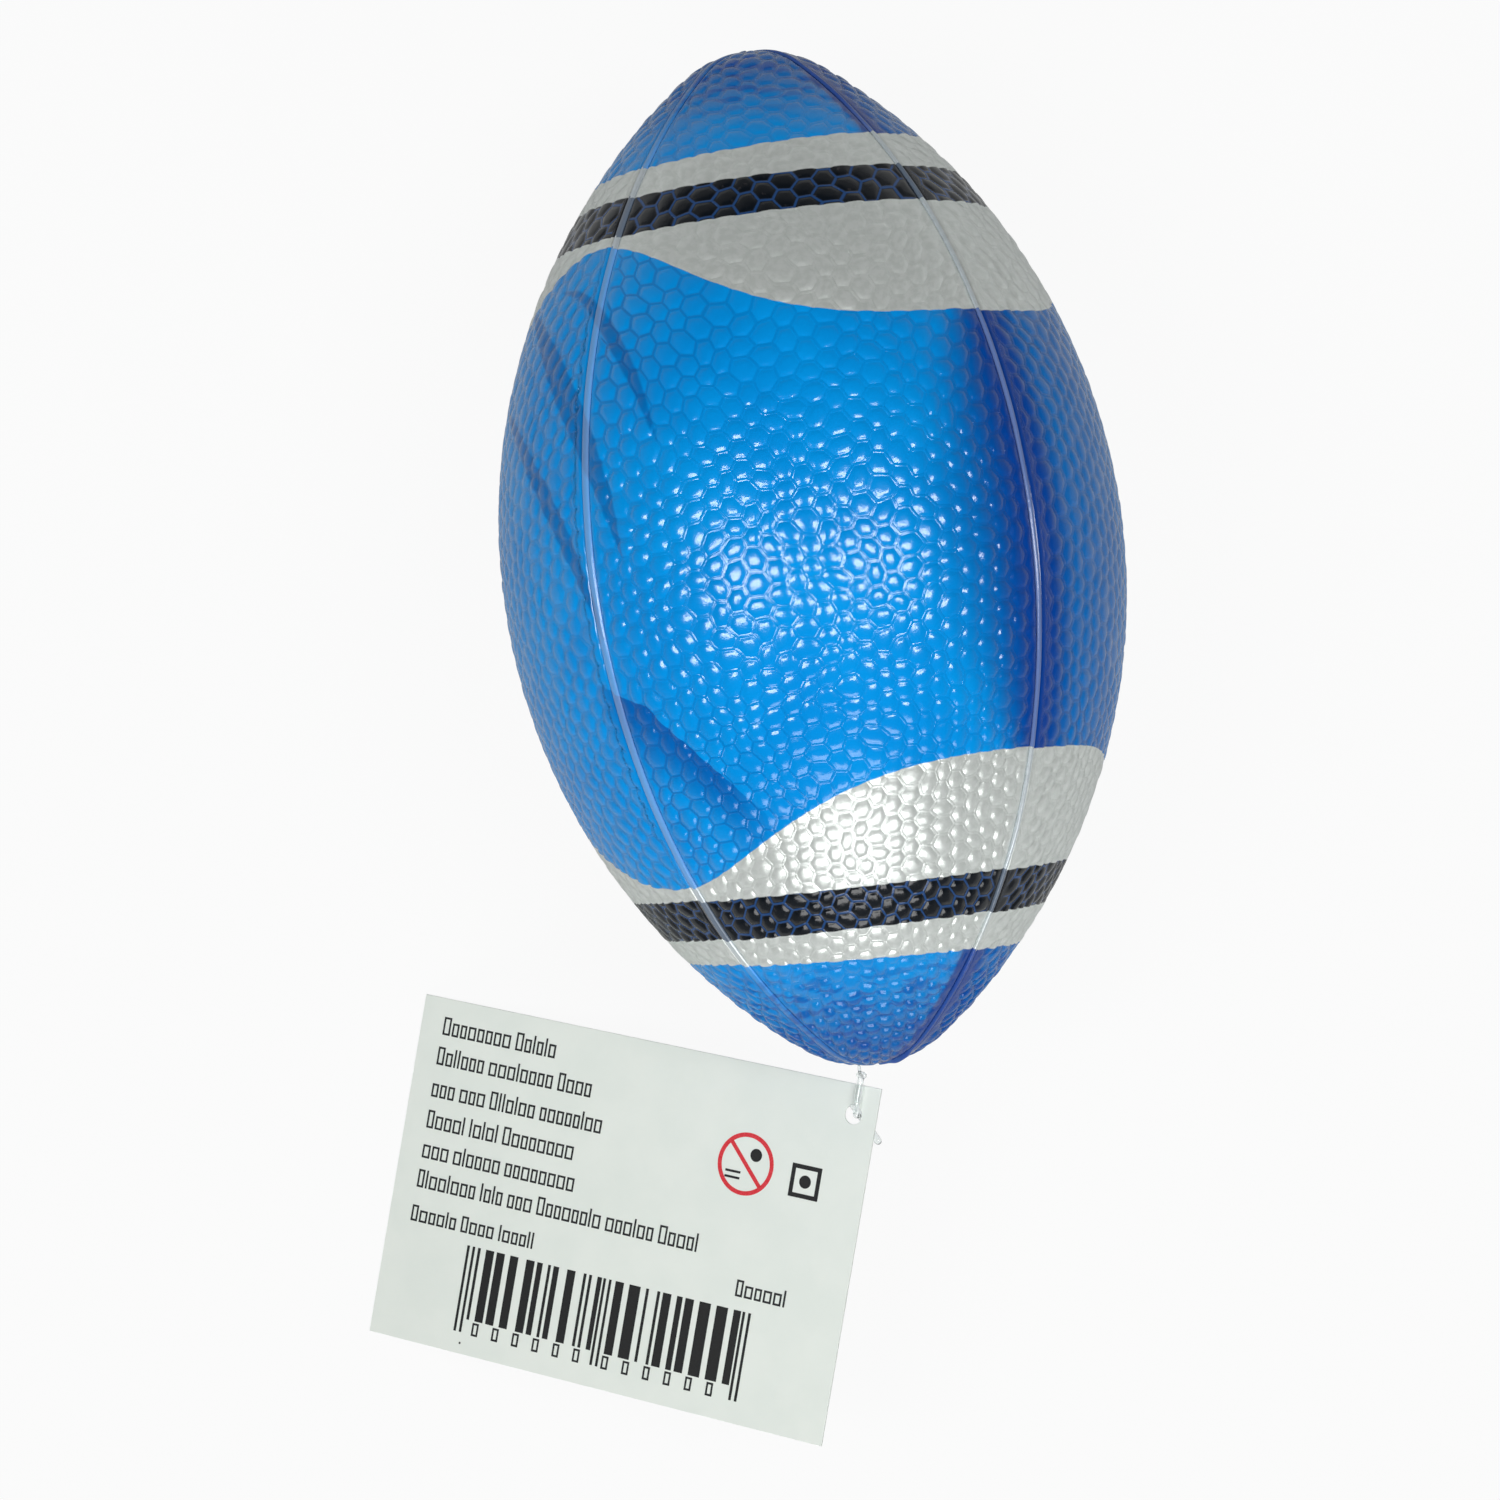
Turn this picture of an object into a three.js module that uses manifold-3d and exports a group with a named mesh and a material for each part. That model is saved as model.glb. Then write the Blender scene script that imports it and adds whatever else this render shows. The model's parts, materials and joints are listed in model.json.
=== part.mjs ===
// A toy rugby ball: a moulded foam core, four embossed film panels, four welded seam beads,
// and a swing tag held on one tip by a clear plastic tag pin.
// Millimetres. The ball's centre is the origin and its long axis is Y. It lies on its side, +Z up.
import * as THREE from "three";
import { mergeVertices } from "three/addons/utils/BufferGeometryUtils.js";
import Module from "manifold-3d";

// Ball
const BALL_LENGTH = 166.5;
const BALL_DIAMETER = 101.5;
const TIP_RADIUS = 19.2; // each tip is a round cap, and the side is one arc that meets both caps
const SKIN_THICKNESS = 1.0; // printed film with the foam layer bonded behind it
const GAP = 0.3; // between pieces that touch on the real ball
const ROUND_STEPS = 48;
const SIDE_STEPS = 8; // along each half of the side arc
const TIP_STEPS = 4; // along each tip's round end
const ROD_SIDES = 12;
const TUBE_STEPS = 18;

// Seams: the longitudes of the four seams round the long axis, from +X towards +Z
const SEAM_ANGLES = { upper_right: 48.5, upper_left: 133.5, lower_left: 225, lower_right: 315 };
const BEAD_WIDTH = 1.2;
const BEAD_PROUD = 0.35; // how far a bead stands above the panels

// Tag pin: one clear moulding, cut here where its filament flexes
const PIN_EXIT_OFFSET = 3.0; // from the long axis, towards -X, on the -Y tip
const PIN_STUB_DIAMETER = 0.6;
const PIN_STUB_DEPTH = 14; // from the tip's skin to the middle of the anchor bar
const PIN_STUB_PROUD = 0.2;
const ANCHOR_BAR_DIAMETER = 1.2;
const ANCHOR_BAR_LENGTH = 9;
const FILAMENT_DIAMETER = 0.6;
const FILAMENT_REACH = 1.7; // how far it stands out from the tip before it hangs
const FILAMENT_LEAD = 2; // its last stretch, straight down to the knob
const KNOB_DIAMETER = 1.3;
const NECK_DIAMETER = 1.2;
const CROSS_BAR_DIAMETER = 1.3;
const CROSS_BAR_LENGTH = 10.6;
const CROSS_BAR_SKEW = 42; // degrees down from the card's top edge
const KNOB_ABOVE_EDGE = 1.7; // from the knob's middle to the card's top edge, along the card

// Tag card
const CARD_WIDTH = 90;
const CARD_HEIGHT = 60;
const CARD_THICKNESS = 0.4;
const HOLE_DIAMETER = 3.2;
const HOLE_FROM_RIGHT = 4.3;
const HOLE_FROM_TOP = 5.1;
const CARD_HEADING = 16.9; // degrees: its down edge turned from -Y towards -X
const HOLE_FROM_EXIT = new THREE.Vector3(-1.7, -9.1, -10.9); // the hole's middle, from the pin's exit

const TURN = Math.PI / 180;
const HALF_LENGTH = BALL_LENGTH / 2;
const BALL_RADIUS = BALL_DIAMETER / 2;
const UP = new THREE.Vector3(0, 0, 1);
const wasm = await Module();
wasm.setup();

// Solids and back again

function solid(geometry) {
  const plain = geometry.index ? geometry.toNonIndexed() : geometry.clone();
  plain.deleteAttribute("normal");
  plain.deleteAttribute("uv");
  const merged = mergeVertices(plain, 1e-4);
  const triVerts = new Uint32Array(merged.index.array);
  const vertProperties = merged.attributes.position.array;
  return new wasm.Manifold(new wasm.Mesh({ numProp: 3, vertProperties, triVerts }));
}

function geometryOf(shape) {
  const mesh = shape.getMesh();
  const geometry = new THREE.BufferGeometry();
  geometry.setAttribute("position", new THREE.BufferAttribute(mesh.vertProperties, 3));
  geometry.setIndex(new THREE.BufferAttribute(mesh.triVerts, 1));
  const flat = geometry.toNonIndexed();
  flat.computeVertexNormals();
  return flat;
}

// The ball's outline from the -Y tip to the +Y tip, moved inwards by a depth
function outline(depth) {
  const capCentre = HALF_LENGTH - TIP_RADIUS;
  const sideRadius =
    (capCentre ** 2 + BALL_RADIUS ** 2 - TIP_RADIUS ** 2) / (2 * (BALL_RADIUS - TIP_RADIUS));
  const arcCentre = sideRadius - BALL_RADIUS; // how far beyond the axis the side arc's centre lies
  const join = Math.atan2(capCentre, arcCentre); // the angle at which the side meets the cap
  const half = [];
  for (let i = 0; i <= SIDE_STEPS; i++) {
    const angle = (join * i) / SIDE_STEPS;
    const radius = sideRadius - depth;
    half.push([radius * Math.cos(angle) - arcCentre, radius * Math.sin(angle)]);
  }
  for (let i = 1; i <= TIP_STEPS; i++) {
    const angle = join + ((Math.PI / 2 - join) * i) / TIP_STEPS;
    const radius = TIP_RADIUS - depth;
    half.push([radius * Math.cos(angle), capCentre + radius * Math.sin(angle)]);
  }
  half[half.length - 1][0] = 0;
  const lower = half.slice(1).reverse().map(([r, y]) => new THREE.Vector2(r, -y));
  return [...lower, ...half.map(([r, y]) => new THREE.Vector2(r, y))];
}

function ballSolid(depth) {
  return solid(new THREE.LatheGeometry(outline(depth), ROUND_STEPS));
}

// The wedge of space round the long axis from one longitude to another, held back from each of
// its two edge planes by a margin
function sector(fromDegrees, toDegrees, margin) {
  const reach = BALL_LENGTH;
  const from = fromDegrees * TURN;
  const to = toDegrees * TURN;
  const half = (to - from) / 2;
  const middle = (from + to) / 2;
  const start = margin / Math.sin(half);
  const wedge = new THREE.Shape([
    new THREE.Vector2(start, 0),
    new THREE.Vector2(start + reach * Math.cos(half), -reach * Math.sin(half)),
    new THREE.Vector2(start + reach * Math.cos(half), reach * Math.sin(half)),
  ]);
  const prism = new THREE.ExtrudeGeometry(wedge, { depth: 2 * reach, bevelEnabled: false });
  prism.translate(0, 0, -reach);
  prism.rotateX(Math.PI / 2); // the wedge opens along X, in the XZ plane
  prism.rotateY(-middle);
  return solid(prism);
}

function rodBetween(start, end, diameter) {
  const along = new THREE.Vector3().subVectors(end, start);
  const middle = new THREE.Vector3().lerpVectors(start, end, 0.5);
  const rod = new THREE.CylinderGeometry(diameter / 2, diameter / 2, along.length(), ROD_SIDES);
  const turn = new THREE.Quaternion().setFromUnitVectors(new THREE.Vector3(0, 1, 0), along.normalize());
  rod.applyQuaternion(turn);
  rod.translate(...middle.toArray());
  return solid(rod);
}

function ballAt(place, diameter) {
  const sphere = new THREE.SphereGeometry(diameter / 2, ROD_SIDES, 8);
  sphere.translate(...place.toArray());
  return solid(sphere);
}

function tubeAlong(points, diameter) {
  const section = new THREE.Shape().absarc(0, 0, diameter / 2, 0, 2 * Math.PI);
  const extrudePath = new THREE.CatmullRomCurve3(points, false, "centripetal");
  const options = { steps: TUBE_STEPS, curveSegments: 5, extrudePath, bevelEnabled: false };
  return solid(new THREE.ExtrudeGeometry(section, options));
}

const part = new THREE.Group();

function add(name, shape, look) {
  const mesh = new THREE.Mesh(geometryOf(shape), new THREE.MeshStandardMaterial(look));
  mesh.name = name;
  part.add(mesh);
}

const FOAM = { color: 0xe9e2c8, roughness: 0.95, metalness: 0 };
const FILM = { color: 0x0a86dc, roughness: 0.3, metalness: 0 };
const BEAD = { color: 0x9db4d8, roughness: 0.25, metalness: 0 };
const CLEAR_PLASTIC = { color: 0xe4e9ea, roughness: 0.2, metalness: 0, transparent: true, opacity: 0.6 };
const CARD = { color: 0xdfe8e3, roughness: 0.55, metalness: 0 };

// Tag pin, inside the ball: the anchor bar and the stub that reaches out through the skin
const capHeight = Math.sqrt(TIP_RADIUS ** 2 - PIN_EXIT_OFFSET ** 2);
const exitPoint = new THREE.Vector3(-PIN_EXIT_OFFSET, TIP_RADIUS - HALF_LENGTH - capHeight, 0);
const stubEnd = exitPoint.clone().add(new THREE.Vector3(0, -PIN_STUB_PROUD, 0));
const anchorMiddle = exitPoint.clone().add(new THREE.Vector3(0, PIN_STUB_DEPTH, 0));
const anchorHalf = new THREE.Vector3(ANCHOR_BAR_LENGTH / 2, 0, 0);

function anchorShape(grow, stubStart) {
  const reach = anchorHalf.clone().add(new THREE.Vector3(grow, 0, 0));
  const low = anchorMiddle.clone().sub(reach);
  const high = anchorMiddle.clone().add(reach);
  const bar = rodBetween(low, high, ANCHOR_BAR_DIAMETER + 2 * grow);
  const stub = rodBetween(stubStart, anchorMiddle, PIN_STUB_DIAMETER + 2 * grow);
  return bar.add(stub);
}

// The pocket that the anchor leaves in the foam and the skin, open at the tip
const pocketMouth = stubEnd.clone().add(new THREE.Vector3(0, -PIN_STUB_DEPTH / 2, 0));
const pinPocket = anchorShape(GAP, pocketMouth);

// Foam core and panels
add("foam_core", ballSolid(SKIN_THICKNESS + GAP).subtract(pinPocket), FOAM);

// Each panel runs from its own seam to the next. Each bead lies in the slot between two panels and
// stands a little proud of them, and at the tips the four beads meet in mitred points.
const skin = ballSolid(0).subtract(ballSolid(SKIN_THICKNESS)).subtract(pinPocket);
const beadSkin = ballSolid(-BEAD_PROUD).subtract(ballSolid(SKIN_THICKNESS));
const seamNames = Object.keys(SEAM_ANGLES);
const seamAngles = Object.values(SEAM_ANGLES);
const panelNames = ["panel_top", "panel_left", "panel_bottom", "panel_right"];
seamAngles.forEach((angle, i) => {
  const next = seamAngles[(i + 1) % 4] + (i === 3 ? 360 : 0);
  const last = seamAngles[(i + 3) % 4] - (i === 0 ? 360 : 0);
  add(panelNames[i], skin.intersect(sector(angle, next, BEAD_WIDTH / 2 + GAP)), FILM);

  const slab = new THREE.BoxGeometry(BALL_LENGTH, 2 * BALL_LENGTH, BEAD_WIDTH);
  slab.translate(BALL_LENGTH / 2, 0, 0);
  slab.rotateY(-angle * TURN);
  const mitre = sector((last + angle) / 2, (angle + next) / 2, GAP / 2);
  add(`seam_bead_${seamNames[i]}`, beadSkin.intersect(solid(slab)).intersect(mitre), BEAD);
});

add("pin_anchor", anchorShape(0, stubEnd), CLEAR_PLASTIC);

// The card lies with its left edge on the surface that the ball lies on, and leans up from there to
// its hole. Its own directions are right and down along its edges, and front towards the reader.
const holeAt = exitPoint.clone().add(HOLE_FROM_EXIT);
const holeHeight = BALL_RADIUS + holeAt.z - CARD_THICKNESS / 2;
const rise = Math.asin(holeHeight / (CARD_WIDTH - HOLE_FROM_RIGHT));
const right = new THREE.Vector3(Math.cos(rise), 0, Math.sin(rise)).applyAxisAngle(UP, -CARD_HEADING * TURN);
const down = new THREE.Vector3(0, -1, 0).applyAxisAngle(UP, -CARD_HEADING * TURN);
const front = new THREE.Vector3().crossVectors(down, right);

// A place on the card, measured from the middle of its hole
function onCard(toRight, toBottom, toFront) {
  return holeAt.clone()
    .addScaledVector(right, toRight)
    .addScaledVector(down, toBottom)
    .addScaledVector(front, toFront);
}

// Tag card: modelled flat with its hole's middle at the origin, then laid in its pose
const cardBlank = new THREE.BoxGeometry(CARD_WIDTH, CARD_HEIGHT, CARD_THICKNESS);
cardBlank.translate(HOLE_FROM_RIGHT - CARD_WIDTH / 2, HOLE_FROM_TOP - CARD_HEIGHT / 2, 0);
const holePunch = new THREE.CylinderGeometry(HOLE_DIAMETER / 2, HOLE_DIAMETER / 2, 4 * CARD_THICKNESS, 32);
holePunch.rotateX(Math.PI / 2);
const cardGeometry = geometryOf(solid(cardBlank).subtract(solid(holePunch)));
cardGeometry.applyMatrix4(new THREE.Matrix4().makeBasis(right, down.clone().negate(), front));
cardGeometry.translate(...holeAt.toArray());
add("tag_card", solid(cardGeometry), CARD);

// Tag pin, outside the ball. The neck lies on the card's front, dives through the hole and ends
// in the cross bar behind the card.
const neckHeight = CARD_THICKNESS / 2 + GAP + NECK_DIAMETER / 2;
const barHeight = CARD_THICKNESS / 2 + GAP + CROSS_BAR_DIAMETER / 2;
const knobDown = -HOLE_FROM_TOP - KNOB_ABOVE_EDGE;
const neckAcross = (HOLE_DIAMETER - NECK_DIAMETER) / 2 - GAP; // it lies against the hole's right side
const knobAt = onCard(neckAcross, knobDown, neckHeight);
const neck = tubeAlong(
  [
    knobAt,
    onCard(neckAcross, knobDown / 2, neckHeight),
    onCard(neckAcross, -NECK_DIAMETER, neckHeight),
    onCard(neckAcross, 0, neckHeight - NECK_DIAMETER / 2),
    onCard(neckAcross, 0, 0),
    onCard(neckAcross, 0, -barHeight),
  ],
  NECK_DIAMETER,
);
const skew = CROSS_BAR_SKEW * TURN;
const barAcross = (CROSS_BAR_LENGTH / 2) * Math.cos(skew);
const barDown = (CROSS_BAR_LENGTH / 2) * Math.sin(skew);
const barStart = onCard(neckAcross - barAcross, -barDown, -barHeight);
const barEnd = onCard(neckAcross + barAcross, barDown, -barHeight);
const crossBar = rodBetween(barStart, barEnd, CROSS_BAR_DIAMETER)
  .add(ballAt(barStart, CROSS_BAR_DIAMETER))
  .add(ballAt(barEnd, CROSS_BAR_DIAMETER));
add("pin_neck", neck.add(ballAt(knobAt, KNOB_DIAMETER)).add(crossBar), CLEAR_PLASTIC);

// The filament leaves the stub straight out of the tip, then hangs down to the knob
const filamentStart = stubEnd.clone().add(new THREE.Vector3(0, -GAP, 0));
const filamentEnd = knobAt.clone().add(new THREE.Vector3(0, 0, KNOB_DIAMETER / 2 + GAP));
const halfWay = new THREE.Vector3().lerpVectors(filamentStart, filamentEnd, 0.5);
const filament = tubeAlong(
  [
    filamentStart,
    filamentStart.clone().add(new THREE.Vector3(0, -0.6 * FILAMENT_REACH, -0.1 * FILAMENT_REACH)),
    new THREE.Vector3(halfWay.x, filamentStart.y - FILAMENT_REACH, halfWay.z),
    filamentEnd.clone().add(new THREE.Vector3(0, 0, FILAMENT_LEAD)),
    filamentEnd,
  ],
  FILAMENT_DIAMETER,
);
add("pin_filament", filament, CLEAR_PLASTIC);

export default part;
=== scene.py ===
"""A small printed foam rugby ball with a swing tag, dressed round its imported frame."""
import json
import math

import bmesh
import bpy
import numpy as np
from mathutils import Matrix, Vector


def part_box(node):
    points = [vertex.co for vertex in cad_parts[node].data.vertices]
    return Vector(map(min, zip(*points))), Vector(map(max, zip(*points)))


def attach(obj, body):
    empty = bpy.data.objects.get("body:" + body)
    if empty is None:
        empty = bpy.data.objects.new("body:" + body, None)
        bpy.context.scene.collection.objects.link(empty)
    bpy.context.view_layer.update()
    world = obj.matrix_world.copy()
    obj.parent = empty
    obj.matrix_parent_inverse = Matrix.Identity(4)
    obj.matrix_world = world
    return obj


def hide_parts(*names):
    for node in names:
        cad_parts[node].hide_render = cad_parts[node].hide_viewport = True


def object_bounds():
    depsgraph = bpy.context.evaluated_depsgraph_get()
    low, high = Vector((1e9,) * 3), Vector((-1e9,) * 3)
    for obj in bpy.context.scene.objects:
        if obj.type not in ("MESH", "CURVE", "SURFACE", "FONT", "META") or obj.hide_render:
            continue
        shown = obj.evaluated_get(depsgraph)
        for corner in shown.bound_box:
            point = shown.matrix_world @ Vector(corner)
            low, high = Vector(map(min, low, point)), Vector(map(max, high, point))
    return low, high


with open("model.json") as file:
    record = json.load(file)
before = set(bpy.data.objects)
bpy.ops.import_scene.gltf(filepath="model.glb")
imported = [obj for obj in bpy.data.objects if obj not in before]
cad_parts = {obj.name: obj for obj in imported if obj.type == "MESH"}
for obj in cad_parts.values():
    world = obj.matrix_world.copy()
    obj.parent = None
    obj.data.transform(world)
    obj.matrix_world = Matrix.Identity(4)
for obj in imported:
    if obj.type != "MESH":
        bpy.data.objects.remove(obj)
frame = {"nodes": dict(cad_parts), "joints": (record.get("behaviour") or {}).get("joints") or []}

cad_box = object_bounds()
bpy.ops.object.select_all(action="DESELECT")
nodes = frame["nodes"]
MM = 0.001

# Ball, in millimetres, as in the part's source. Longitudes are in degrees round the long axis,
# from straight up (+Z) towards +X.
BALL_RADIUS = -cad_box[0].z / MM
HALF_LENGTH = 83.25
TIP_RADIUS = 19.2
CAP_CENTRE = HALF_LENGTH - TIP_RADIUS
# The side is one arc that meets the round tips at JOIN, an angle from the waist
SIDE_RADIUS = (CAP_CENTRE**2 + BALL_RADIUS**2 - TIP_RADIUS**2) / (2 * (BALL_RADIUS - TIP_RADIUS))
ARC_CENTRE = SIDE_RADIUS - BALL_RADIUS
JOIN = math.atan2(CAP_CENTRE, ARC_CENTRE)
SIDE_REACH = SIDE_RADIUS * JOIN
SKIN = 1.0
SEAMS = {"upper_right": 41.5, "lower_right": 135.0, "lower_left": 225.0, "upper_left": 316.5}
BEAD_WIDTHS = {"upper_right": 0.8, "lower_right": 1.1, "lower_left": 1.1, "upper_left": 1.4}
BEAD_PROUD = {"upper_right": 0.26, "lower_right": 0.2, "lower_left": 0.2, "upper_left": 0.14}
BEAD_CLEARANCE = 0.04
# Ears of film that the trimming left on a seam: (height, place along it, half the length)
BURRS = {"upper_right": (0.5, -SIDE_REACH - 6.6, 2.4), "upper_left": (0.7, SIDE_REACH + 13.5, 2.2)}

# Embossing: rounded six-sided pebbles in columns that run from tip to tip
PITCH = 3.5
COLUMN = PITCH * math.sqrt(3) / 2
PEBBLE_RELIEF = 0.27
# Uneven stretch of the film: waves as (reach across, reach along, size)
STRETCH_WAVES = [(6.1, 9.0, 0.4), (-11.0, 4.3, 0.3), (2.1, 3.4, 0.22), (-1.7, 2.6, 0.2), (3.1, -1.5, 0.2)]
# The embossing map is stored in units of this many millimetres
MAP_UNIT = 100


# Shapes


def ring(along, depth=0.0):
    """Radius and place on the long axis at a distance along the side from the ball's waist."""
    s = np.abs(along)
    on_side = s < SIDE_REACH
    turn = np.where(on_side, s / SIDE_RADIUS, JOIN + (s - SIDE_REACH) / TIP_RADIUS)
    side, tip = SIDE_RADIUS - depth, TIP_RADIUS - depth
    radius = np.where(on_side, side * np.cos(turn) - ARC_CENTRE, tip * np.cos(turn))
    axial = np.where(on_side, side * np.sin(turn), CAP_CENTRE + tip * np.sin(turn))
    return radius, np.sign(along) * axial


def reach_to(radius):
    """The distance along the side from the waist to where the tip's round end has this radius."""
    return SIDE_REACH + (math.acos(radius / TIP_RADIUS) - JOIN) * TIP_RADIUS


def smooth(value, low, high):
    t = np.clip((value - low) / (high - low), 0, 1)
    return t * t * (3 - 2 * t)


def mesh_object(name, points, faces):
    mesh = bpy.data.meshes.new(name)
    mesh.from_pydata([tuple(p) for p in np.asarray(points) * MM], [], faces)
    mesh.update()
    made = bpy.data.objects.new(name, mesh)
    bpy.context.scene.collection.objects.link(made)
    mesh.polygons.foreach_set("use_smooth", [True] * len(mesh.polygons))
    return made


def closed_strip(name, outer, inner):
    """A closed shell from two grids of points whose first and last rows are pinched to one point.
    Rows go from the -Y tip to the +Y tip, and columns go with the longitude. Also returns which
    of the points, in flatten's order, are in the mesh."""
    rows = outer.shape[0]
    points, grids = [], []
    for grid in (outer, inner):
        index = np.zeros(grid.shape[:2], int)
        for row in range(rows):
            if row in (0, rows - 1):
                index[row] = len(points)
                points.append(grid[row].mean(0))
            else:
                index[row] = np.arange(len(points), len(points) + grid.shape[1])
                points.extend(grid[row])
        grids.append(index)
    top, under = grids
    under[0], under[-1] = top[0, 0], top[-1, 0]

    def quads(a, b, c, d):
        return np.stack([x.ravel() for x in (a, b, c, d)], 1).tolist()

    faces = quads(top[:-1, :-1], top[1:, :-1], top[1:, 1:], top[:-1, 1:])
    faces += quads(under[:-1, :-1], under[:-1, 1:], under[1:, 1:], under[1:, :-1])
    faces += quads(top[:-1, 0], under[:-1, 0], under[1:, 0], top[1:, 0])
    faces += quads(top[:-1, -1], top[1:, -1], under[1:, -1], under[:-1, -1])
    faces = [list(dict.fromkeys(face)) for face in faces]
    used = sorted(set(i for face in faces for i in face))
    place = {old: new for new, old in enumerate(used)}
    faces = [[place[i] for i in face] for face in faces if len(face) > 2]
    return mesh_object(name, np.asarray(points)[used], faces), used


def flatten(outer, inner):
    """Values on the two grids in the order in which closed_strip numbers its points."""
    out = []
    for grid in (outer, inner):
        out += [grid[:1].mean(1), grid[1:-1].ravel(), grid[-1:].mean(1)]
    return np.concatenate(out)


def give(made, name, values):
    """Stores three numbers for each point of a mesh."""
    layer = made.data.attributes.new(name, "FLOAT_VECTOR", "POINT")
    layer.data.foreach_set("vector", np.asarray(values, np.float32).ravel())


def give_map(made, name, places):
    """Stores a place on a flat map for each point of a mesh."""
    layer = made.data.uv_layers.new(name=name)
    corners = np.zeros(len(made.data.loops), np.int32)
    made.data.loops.foreach_get("vertex_index", corners)
    layer.data.foreach_set("uv", np.asarray(places, np.float32)[corners].ravel())


# Print: where each ink lies, as a signed distance in millimetres that is above 0 inside it


def upper_wave(lon):
    """The lower edge of the upper silver field. It repeats twice round the ball."""
    turn = np.radians(lon)
    return 40.3 - 8.7 * np.sin(2 * turn + 0.09) - 2.2 * np.cos(4 * turn + 0.26)


def lower_wave(lon):
    """The upper edge of the lower silver field."""
    turn = np.radians(lon)
    return -40.9 + 7.9 * np.sin(2 * turn + 0.17) + 1.8 * np.cos(4 * turn + 0.19)


def silver_ink(lon, axial):
    """The two silver fields, each from its waved edge to a nearly straight one towards the tip."""
    lean = np.sin(np.radians(lon))
    upper = np.minimum(axial - upper_wave(lon), 64.4 + lean - axial)
    lower = np.minimum(lower_wave(lon) - axial, axial + 64.7 + 1.3 * lean)
    return np.maximum(upper, lower)


def black_ink(lon, axial):
    """The two black bands that lie on the silver."""
    lean = np.sin(np.radians(lon))
    upper = np.minimum(axial - 52.7, 59.0 - axial)
    lower = np.minimum(-53.0 - 0.5 * lean - axial, axial + 59.6 + 0.4 * lean)
    return np.maximum(upper, lower)


# Ribbons of darker ink that flow over the left seam: (longitude, place on the axis, width)
RIBBONS = [
    [(-80, 45, 0.3), (-68, 41, 2.2), (-56, 34, 4.2), (-46, 24, 4.6), (-39, 12, 2.8), (-36, 2, 0.3)],
    [(-84, 30, 0.3), (-72, 26, 1.8), (-60, 18, 3.0), (-51, 8, 3.2), (-45, -3, 1.8), (-43, -10, 0.3)],
    [(-60, 46, 0.2), (-50, 44, 1.4), (-40, 38, 2.4), (-32, 29, 2.0), (-27, 19, 0.2)],
]


def curve_through(points, steps=10):
    """Points along a smooth curve through some others."""
    p = np.asarray(points, float)
    p = np.vstack([2 * p[0] - p[1], p, 2 * p[-1] - p[-2]])
    t = np.linspace(0, 1, steps, endpoint=False)[:, None]
    out = []
    for a, b, c, d in zip(p[:-3], p[1:-2], p[2:-1], p[3:]):
        square, cube = 2 * a - 5 * b + 4 * c - d, 3 * b - a - 3 * c + d
        out.append(0.5 * (2 * b + (c - a) * t + square * t**2 + cube * t**3))
    return np.vstack([*out, p[-2:-1]])


def ribbon_ink(lon, axial, radius):
    """The ribbons: each tapers from its middle to both ends."""
    best = np.full(lon.shape, -20.0)
    near = (lon < -15) & (lon > -90) & (np.abs(axial) < 50)
    across, up = np.radians(lon[near]) * radius[near], axial[near]
    for ribbon in RIBBONS:
        line = curve_through(ribbon)
        for (lon_a, a, wide_a), (lon_b, b, wide_b) in zip(line[:-1], line[1:]):
            start = np.stack([np.radians(lon_a) * radius[near], np.full(up.shape, a)])
            run = np.stack([np.radians(lon_b - lon_a) * radius[near], np.full(up.shape, b - a)])
            gone = np.stack([across, up]) - start
            t = np.clip((gone * run).sum(0) / np.maximum((run * run).sum(0), 1e-9), 0, 1)
            off = np.hypot(*(gone - t * run))
            best[near] = np.maximum(best[near], np.maximum(wide_a + (wide_b - wide_a) * t, 0) / 2 - off)
    return best


def swoosh_ink(lon, axial):
    """The darker sweep under a curved edge, low on the left."""
    edge = -17.0 - 4.5 * smooth(lon, -50, -34) - 0.95 * np.maximum(lon + 37, 0)
    return edge - axial


# Materials


def hex_colour(code):
    """A linear colour from an sRGB hex value."""
    parts = [int(code[i : i + 2], 16) / 255 for i in (1, 3, 5)]
    return [c / 12.92 if c <= 0.04045 else ((c + 0.055) / 1.055) ** 2.4 for c in parts] + [1.0]


def wire(tree, node, inputs):
    """Sets a node's inputs. Each one is a value, or a node or a socket to link from."""
    for key, value in inputs.items():
        if isinstance(value, bpy.types.Node):
            value = next(socket for socket in value.outputs if socket.enabled)
        if isinstance(value, bpy.types.NodeSocket):
            tree.links.new(value, node.inputs[key])
        else:
            node.inputs[key].default_value = value
    return node


def add(tree, kind, inputs=None, **settings):
    """Adds a node with its settings and inputs."""
    node = tree.nodes.new(kind)
    for key, value in settings.items():
        setattr(node, key, value)
    return wire(tree, node, inputs or {})


def material(name):
    made = bpy.data.materials.new(name)
    made.use_nodes = True
    return made, made.node_tree, made.node_tree.nodes["Principled BSDF"]


# Node kinds, settings and sockets that come up often
MATH, VECTOR_MATH, MIX = "ShaderNodeMath", "ShaderNodeVectorMath", "ShaderNodeMix"
RANGE, NOISE, SPLIT = "ShaderNodeMapRange", "ShaderNodeTexNoise", "ShaderNodeSeparateXYZ"
SMOOTHSTEP = {"interpolation_type": "SMOOTHSTEP"}
COLOUR = {"data_type": "RGBA"}
FACTOR, FIRST, SECOND = 0, 6, 7
VALUE, LOW, HIGH, TO_LOW, TO_HIGH = 0, 1, 2, 3, 4


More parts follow.
